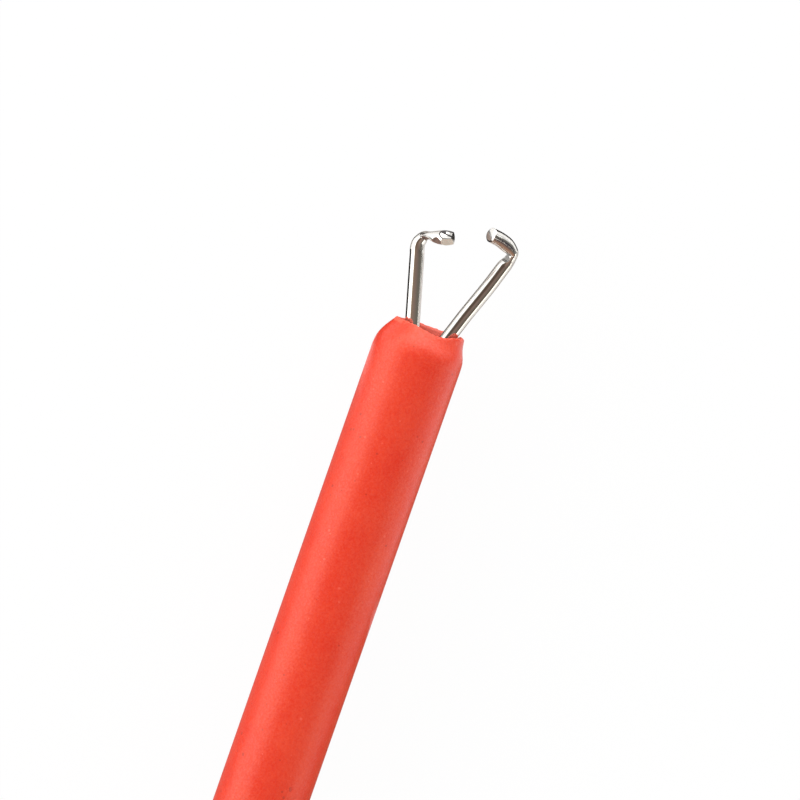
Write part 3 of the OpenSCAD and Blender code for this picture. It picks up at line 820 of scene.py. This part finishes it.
def make_high_cards():
    """Cards above the tool, placed from the middle of the camera's picture."""
    def at(out, sideways, up):
        return TARGET + BACK * out + RIGHT * sideways + UPWARD * up

    facing = (RIGHT, UPWARD, BACK)
    brown = [
        (0.0, (0.45, 0.335, 0.235)), (0.03, (0.45, 0.333, 0.234)), (0.15, (0.42, 0.294, 0.225)),
        (0.276, (0.355, 0.25, 0.207)), (0.389, (0.30, 0.223, 0.188)), (0.526, (0.225, 0.184, 0.157)),
        (0.727, (0.17, 0.153, 0.128)), (1.0, (0.15, 0.13, 0.11)),
    ]
    greys = [
        (0.0, 0.8), (0.5875, 0.9), (0.6775, 0.95), (0.74, 0.95),
        (0.7675, 0.93), (0.79, 0.72), (0.84, 0.34), (1.0, 0.3),
    ]
    shade = [(place, (grey, grey, grey)) for place, grey in greys]
    card("brown_card", brown, facing, at(0.12, 0.0655, -0.13), 0.293, 0.40, shade)
    olive = [(0.0, (0.14, 0.13, 0.11)), (0.5, (0.15, 0.145, 0.13)), (1.0, (0.36, 0.35, 0.33))]
    card("olive_card", olive, facing, at(0.12, 0.406, -0.06), 0.388, 0.16)
    tan = plain(0.45, 0.335, 0.235)
    card("tan_card", tan, facing, at(0.12, -0.0915, -0.015), 0.021, 0.09)
    drab = plain(0.11, 0.107, 0.10)
    card("drab_card", drab, (UPWARD, BACK, -RIGHT), at(0.06, 0.62, -0.09), 0.22, 0.14)
    across = RIGHT * math.cos(ROLL) - UPWARD * math.sin(ROLL)
    beyond = TARGET + BACK * 0.12 + AXIS * 0.155
    card("white_card", plain(*WHITE), (across, AXIS, BACK), beyond, 0.6, 0.14, strength=3.0)
    umber = [
        (0.0, (0.36, 0.215, 0.145)), (0.35, (0.36, 0.20, 0.13)), (0.6, (0.32, 0.185, 0.125)),
        (0.69, (0.27, 0.16, 0.115)), (0.79, (0.19, 0.12, 0.10)), (0.9, (0.08, 0.06, 0.07)),
        (1.0, (0.05, 0.045, 0.06)),
    ]
    card("umber_card", umber, (RIGHT, BACK, -UPWARD), at(0.058, 0.0, -0.2), 0.36, 0.184)
    violet = [(0.0, (0.045, 0.04, 0.055)), (1.0, (0.06, 0.055, 0.07))]
    card("violet_card", violet, facing, at(0.119, 0.27, -0.1235), 0.14, 0.077)


def make_low_cards():
    """Cards just above the floor, placed under the picture's middle or under the mouth. The dark, grey and
    brown ones are painted shade on the floor as mirrors see it, and the white one is painted light.
    """
    lift = 0.0004
    ground = Vector((TARGET.x, TARGET.y, lift))
    mouth = Vector((X_MOUTH * MM, 0.0, lift))
    flat = Vector((RIGHT.x, RIGHT.y, 0)).normalized()
    onward = LEVEL.cross(flat)

    def at(sideways, forward):
        return ground + flat * sideways + onward * forward

    lying = (flat, onward, LEVEL)
    dark = plain(0.035, 0.033, 0.031)
    slate = plain(0.20, 0.196, 0.19)
    card("dark_card_left", dark, lying, at(-0.0142, 0.0064), 0.028, 0.0044)
    card("grey_card_ahead", slate, lying, at(-0.0025, 0.0118), 0.005, 0.0064)
    card("dark_card_right", dark, lying, at(0.0098, 0.0127), 0.0085, 0.0086)
    earth = [(0.0, (0.31, 0.18, 0.12)), (1.0, (0.30, 0.18, 0.125))]
    trail = Vector((-0.915, -0.403, 0.0)).normalized()
    card("brown_card_floor", earth, (trail, LEVEL.cross(trail), LEVEL), mouth + trail * 0.098, 0.16, 0.02)
    beside = mouth + Vector((-0.0085, -0.0048, 0.0))
    card("brown_card_near", earth, (AHEAD, SIDE, LEVEL), beside, 0.015, 0.0066)
    card("grey_card_left", plain(0.30, 0.295, 0.285), lying, at(-0.031, -0.029), 0.058, 0.062)
    card("grey_card_right", slate, lying, at(0.047, 0.0022), 0.066, 0.0085)
    card("white_card_low", plain(*WHITE), lying, at(0.024, -0.0107), 0.032, 0.0225, strength=1.25)


def make_world():
    """Even light all round, seen as white by the camera."""
    world = bpy.data.worlds.new("studio")
    bpy.context.scene.world = world
    w = Finish(world)
    seen = w.node("ShaderNodeLightPath").outputs["Is Camera Ray"]
    colour = w.tint(seen, (0.72, 0.72, 0.72), WHITE)
    sky = w.node("ShaderNodeBackground", {}, {"Color": colour, "Strength": 1.0})
    w.node("ShaderNodeOutputWorld", {}, {"Surface": sky.outputs[0]})


def make_camera():
    """Camera at the photograph's viewing angle."""
    data = bpy.data.cameras.new("camera")
    data.lens = LENS
    data.sensor_width = SENSOR
    data.clip_start = 0.01
    data.clip_end = 20.0
    camera = bpy.data.objects.new("camera", data)
    camera.matrix_world = placed(RIGHT, UPWARD, BACK, TARGET + BACK * (VIEW_WIDTH / SENSOR * LENS))
    bpy.context.scene.collection.objects.link(camera)
    bpy.context.scene.camera = camera


def lamp(name, way, far, width, height, strength, colour=WHITE):
    """A soft lamp that faces the middle of the picture."""
    light = bpy.data.lights.new(name, "AREA")
    light.shape = "RECTANGLE"
    light.size = width
    light.size_y = height
    light.energy = strength * math.pi * width * height
    light.color = colour
    made = bpy.data.objects.new(name, light)
    z = way.normalized()
    x = (UPWARD - z * z.dot(UPWARD)).normalized()
    made.matrix_world = placed(x, z.cross(x), z, TARGET + z * far)
    made.visible_camera = False
    bpy.context.scene.collection.objects.link(made)


def make_lamps():
    """Three soft lamps round the camera."""
    warm = (1.0, 0.90, 0.74)
    lamp("left_softbox", BACK * 0.37 - RIGHT * 0.93, 0.45, 0.8, 0.44, 1.29)
    lamp("right_softbox", BACK * 0.19 + RIGHT * 0.69 - UPWARD * 0.70, 0.5, 0.2, 0.18, 1.95, warm)
    lamp("top_softbox", BACK * 0.42 + UPWARD * 0.85 + RIGHT * 0.32, 0.55, 0.5, 1.0, 2.35)


make_floor()
make_high_cards()
make_low_cards()
make_world()
make_camera()
make_lamps()
bpy.context.scene.view_settings.view_transform = "Standard"
